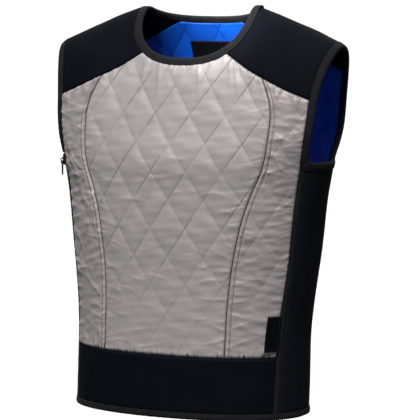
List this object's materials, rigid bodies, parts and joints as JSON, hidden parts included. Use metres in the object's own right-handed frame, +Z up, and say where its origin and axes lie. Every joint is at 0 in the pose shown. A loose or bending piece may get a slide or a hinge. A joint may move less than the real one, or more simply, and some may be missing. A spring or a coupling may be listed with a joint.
{
  "type": "cooling vest",
  "caption": "Sleeveless quilted cooling vest in its worn shape, with stretch yokes and sides, bound edges and a side zip.",
  "frame": {"origin": "midway between the two places where the shoulders carry the vest, at the height of the cloth's inner face there", "axes": "+Z up towards the neck, -Y out of the wearer's chest, +X towards the wearer's left"},
  "size_m": [0.4526, 0.2269, 0.5806],
  "materials": {
    "silver_quilt": "satin quilted nylon",
    "blue_lining": "satin quilted lining",
    "stretch_cloth": "matt stretch softshell",
    "edge_binding": "ribbed elastic tape",
    "zip_plastic": "satin",
    "label_cloth": "woven, bare"
  },
  "bodies": {
    "vest": {"front_panel": "silver_quilt", "side_front_left": "silver_quilt", "side_front_right": "silver_quilt", "back_panel": "silver_quilt", "back_lining": "blue_lining", "shoulder_yoke_left": "stretch_cloth", "shoulder_yoke_right": "stretch_cloth", "side_panel_left": "stretch_cloth", "side_panel_right": "stretch_cloth", "front_hem_band": "stretch_cloth", "back_hem_band": "stretch_cloth", "side_strip_left": "edge_binding", "neck_binding": "edge_binding", "armhole_binding_left": "edge_binding", "armhole_binding_right": "edge_binding", "hem_binding": "edge_binding", "zip_tape_front": "zip_plastic", "zip_teeth": "zip_plastic", "zip_tape_back": "zip_plastic", "zip_slider": "zip_plastic", "neck_label": "label_cloth", "side_tab": "label_cloth"},
    "zip_pull": {"zip_pull": "zip_plastic"}
  },
  "joints": [
    {"name": "zip_pull_swing", "type": "hinge", "parent": "vest", "child": "zip_pull", "pos_m": [-0.19637, -0.06225, -0.20341], "axis": [-0.6888, 0.725, 0], "range_deg": [0, 150]}
  ]
}
